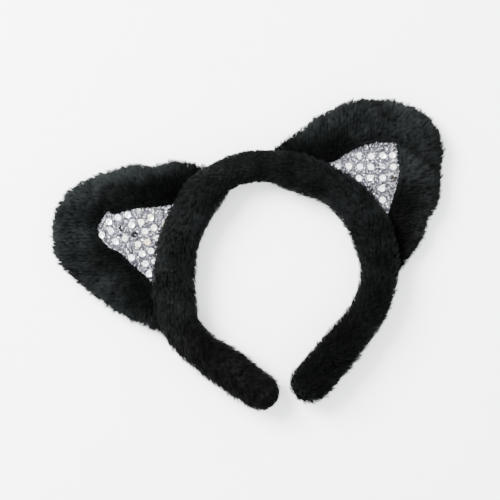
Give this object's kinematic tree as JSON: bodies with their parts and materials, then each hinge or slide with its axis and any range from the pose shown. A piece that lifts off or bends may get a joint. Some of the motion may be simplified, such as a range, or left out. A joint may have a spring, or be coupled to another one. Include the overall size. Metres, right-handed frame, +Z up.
{
  "type": "animal ears headband",
  "caption": "Padded black plush horseshoe headband with rounded plush cat ears, each with a sequinned silver triangle on its front.",
  "frame": {"origin": "centre of the overall box at the surface that the headband lies on, lying on its back", "axes": "+Z up, out of the fronts of the ears; +Y from the open ends towards the crown; +X to the viewer's right, across the ears"},
  "size_m": [0.2452, 0.1946, 0.024],
  "materials": {
    "black_plush": "short soft plush pile",
    "strip_plastic": "satin springy plastic",
    "foam": "soft open-cell foam",
    "fibre_filling": "loose polyester fibre",
    "silver_net": "glittering metallic knit",
    "sequin": "mirror-like metallised film",
    "silver_thread": "fine pale thread",
    "black_thread": "fine black thread"
  },
  "bodies": {
    "crown": {"crown_strip": "strip_plastic", "crown_padding": "foam", "crown_sleeve": "black_plush", "crown_sleeve_seam": "black_thread"},
    "left_arm": {"left_strip": "strip_plastic", "left_padding": "foam", "left_sleeve": "black_plush", "left_sleeve_seam": "black_thread", "left_end_stitches": "black_thread"},
    "left_ear": {"left_ear_back_panel": "black_plush", "left_ear_filling": "fibre_filling", "left_ear_front_panel": "black_plush", "left_ear_edge_seam": "black_thread", "left_silver_triangle": "silver_net", "left_triangle_stitches": "silver_thread", "left_sequins": "sequin", "left_sequin_threads": "silver_thread", "left_ear_base_stitches": "black_thread"},
    "right_arm": {"right_strip": "strip_plastic", "right_padding": "foam", "right_sleeve": "black_plush", "right_sleeve_seam": "black_thread", "right_end_stitches": "black_thread"},
    "right_ear": {"right_ear_back_panel": "black_plush", "right_ear_filling": "fibre_filling", "right_ear_front_panel": "black_plush", "right_ear_edge_seam": "black_thread", "right_silver_triangle": "silver_net", "right_triangle_stitches": "silver_thread", "right_sequins": "sequin", "right_sequin_threads": "silver_thread", "right_ear_base_stitches": "black_thread"}
  },
  "joints": [
    {"name": "left_arm_flex", "type": "hinge", "parent": "crown", "child": "left_arm", "pos_m": [-0.01806, 0.05043, 0.012], "axis": [0, 0, -1], "range_deg": [0, 12], "stiffness_Nm_per_rad": 1},
    {"name": "right_arm_flex", "type": "hinge", "parent": "crown", "child": "right_arm", "pos_m": [0.01182, 0.05781, 0.012], "axis": [0, 0, 1], "range_deg": [0, 12], "stiffness_Nm_per_rad": 1},
    {"name": "left_ear_fold", "type": "hinge", "parent": "left_arm", "child": "left_ear", "pos_m": [-0.0571, 0.00924, 0.013], "axis": [0.2588, 0.9659, 0], "range_deg": [0, 25], "stiffness_Nm_per_rad": 0.03},
    {"name": "right_ear_fold", "type": "hinge", "parent": "right_arm", "child": "right_ear", "pos_m": [0.07205, 0.04671, 0.013], "axis": [0.7071, -0.7071, 0], "range_deg": [0, 25], "stiffness_Nm_per_rad": 0.03}
  ]
}
